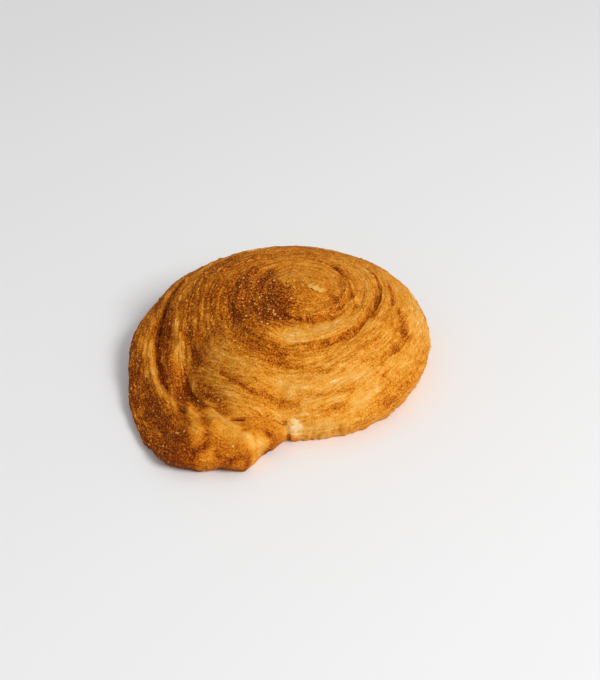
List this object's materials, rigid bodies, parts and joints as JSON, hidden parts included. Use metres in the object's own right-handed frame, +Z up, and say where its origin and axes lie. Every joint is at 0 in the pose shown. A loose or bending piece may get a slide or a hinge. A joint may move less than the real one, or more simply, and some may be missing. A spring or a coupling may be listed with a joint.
{
  "type": "croissant bun",
  "caption": "Domed bun of laminated dough, a long strip wound like a snail shell with its loose end at the front left and a flat baked underside, to rest on a plate or tray.",
  "frame": {"origin": "on the winding axis, at the level of the flat underside", "axes": "+Z up along the winding axis; -Y towards the picture's viewer, +X to that viewer's right"},
  "size_m": [0.1156, 0.1245, 0.038],
  "materials": {
    "crust": "egg-washed, golden brown, satin"
  },
  "bodies": {
    "root": {"bun": "crust"}
  },
  "joints": []
}
